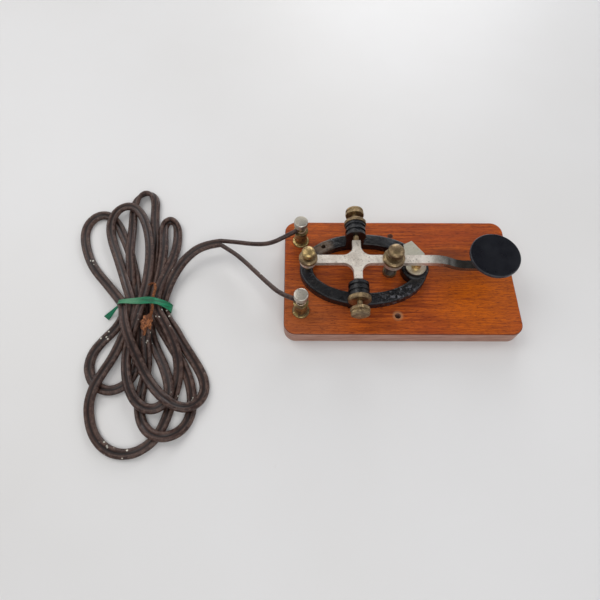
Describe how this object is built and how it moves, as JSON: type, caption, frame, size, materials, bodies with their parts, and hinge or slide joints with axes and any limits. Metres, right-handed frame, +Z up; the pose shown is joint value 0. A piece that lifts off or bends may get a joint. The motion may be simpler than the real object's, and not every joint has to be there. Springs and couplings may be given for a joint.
{
  "type": "morse key",
  "caption": "Straight morse key: nickel cross lever on a black oval frame, flat round knob, two binding posts on a wooden board, with a hanked two-wire cord.",
  "frame": {"origin": "middle of the board's underside", "axes": "+X along the key from the binding posts to the knob, +Y to the far side of the board, +Z up"},
  "size_m": [0.3001, 0.1963, 0.0402],
  "materials": {
    "varnished_wood": "satin lacquer over red-brown wood",
    "black_enamel": "worn gloss black enamel",
    "steel": "plain steel",
    "nickel_plate": "speckled old nickel plate",
    "black_knob": "satin moulded black",
    "brass_bright": "brass with silver tip",
    "fibre": "pressed fibre",
    "aged_brass": "dull tarnished brass",
    "spring_steel": "dark oiled wire",
    "post_brass": "tarnished brass",
    "post_nickel": "worn nickel",
    "hookup_wire": "insulated hookup wire",
    "cord_rubber": "old dark brown two-conductor flex",
    "hank_bundle": "bundle of flex with air between its turns",
    "green_tape": "green vinyl tape",
    "bare_copper": "bare oxidised copper strands"
  },
  "bodies": {
    "base": {"base_board": "varnished_wood", "frame_ring": "black_enamel", "frame_screws": "steel", "frame_washers": "steel", "contact_strap": "nickel_plate", "contact_insulator": "fibre", "lower_contact": "brass_bright", "contact_nut": "steel", "post_nuts": "steel", "binding_post_near": "post_brass", "binding_post_far": "post_brass", "spring_seat": "aged_brass", "tension_spring": "spring_steel", "hookup_wire_near": "hookup_wire", "hookup_wire_far": "hookup_wire", "pair_cord": "cord_rubber", "lead_near": "cord_rubber", "lead_far": "cord_rubber", "cord_hank": "hank_bundle", "cord_tie": "green_tape", "bare_ends": "bare_copper"},
    "lever_arm": {"lever": "nickel_plate", "knob": "black_knob", "knob_screw": "steel", "upper_contact": "brass_bright", "spring_cap": "aged_brass"},
    "gap_adjuster": {"gap_screw": "aged_brass"},
    "gap_lock": {"gap_locknut": "aged_brass"},
    "tension_adjuster": {"tension_screw": "aged_brass"},
    "tension_lock": {"tension_locknut": "aged_brass"},
    "pivot_near": {"pivot_screw_near": "aged_brass"},
    "pivot_far": {"pivot_screw_far": "aged_brass"},
    "pivot_lock_near": {"pivot_locknut_near": "aged_brass"},
    "pivot_lock_far": {"pivot_locknut_far": "aged_brass"},
    "cap_near": {"post_cap_near": "post_nickel"},
    "cap_far": {"post_cap_far": "post_nickel"}
  },
  "joints": [
    {"name": "lever_rock", "type": "hinge", "parent": "base", "child": "lever_arm", "pos_m": [-0.0291, 0.0022, 0.027], "axis": [0, 1, 0], "range_deg": [0, 1.2], "stiffness_Nm_per_rad": 0.6, "springref_deg": -5.73, "deforming": ["tension_spring"]},
    {"name": "gap_screw_turn", "type": "hinge", "parent": "lever_arm", "child": "gap_adjuster", "pos_m": [-0.0606, 0.0022, 0.03], "axis": [0, 0, 1], "range_deg": [-180, 180]},
    {"name": "gap_locknut_turn", "type": "hinge", "parent": "lever_arm", "child": "gap_lock", "pos_m": [-0.0606, 0.0022, 0.03], "axis": [0, 0, 1], "range_deg": [-180, 180]},
    {"name": "tension_screw_turn", "type": "hinge", "parent": "lever_arm", "child": "tension_adjuster", "pos_m": [-0.006, 0.0022, 0.03], "axis": [0, 0, 1], "range_deg": [-180, 180]},
    {"name": "tension_locknut_turn", "type": "hinge", "parent": "lever_arm", "child": "tension_lock", "pos_m": [-0.006, 0.0022, 0.03], "axis": [0, 0, 1], "range_deg": [-180, 180]},
    {"name": "pivot_screw_near_turn", "type": "hinge", "parent": "base", "child": "pivot_near", "pos_m": [-0.0291, -0.0278, 0.027], "axis": [0, -1, 0], "range_deg": [-90, 90]},
    {"name": "pivot_screw_far_turn", "type": "hinge", "parent": "base", "child": "pivot_far", "pos_m": [-0.0291, 0.0322, 0.027], "axis": [0, 1, 0], "range_deg": [-90, 90]},
    {"name": "pivot_locknut_near_turn", "type": "hinge", "parent": "base", "child": "pivot_lock_near", "pos_m": [-0.0291, -0.0263, 0.027], "axis": [0, -1, 0], "range_deg": [-180, 180]},
    {"name": "pivot_locknut_far_turn", "type": "hinge", "parent": "base", "child": "pivot_lock_far", "pos_m": [-0.0291, 0.0307, 0.027], "axis": [0, 1, 0], "range_deg": [-180, 180]},
    {"name": "post_cap_near_turn", "type": "hinge", "parent": "base", "child": "cap_near", "pos_m": [-0.0652, -0.0266, 0.033], "axis": [0, 0, 1], "range_deg": [0, 720]},
    {"name": "post_cap_far_turn", "type": "hinge", "parent": "base", "child": "cap_far", "pos_m": [-0.0652, 0.0266, 0.033], "axis": [0, 0, 1], "range_deg": [0, 720]}
  ]
}
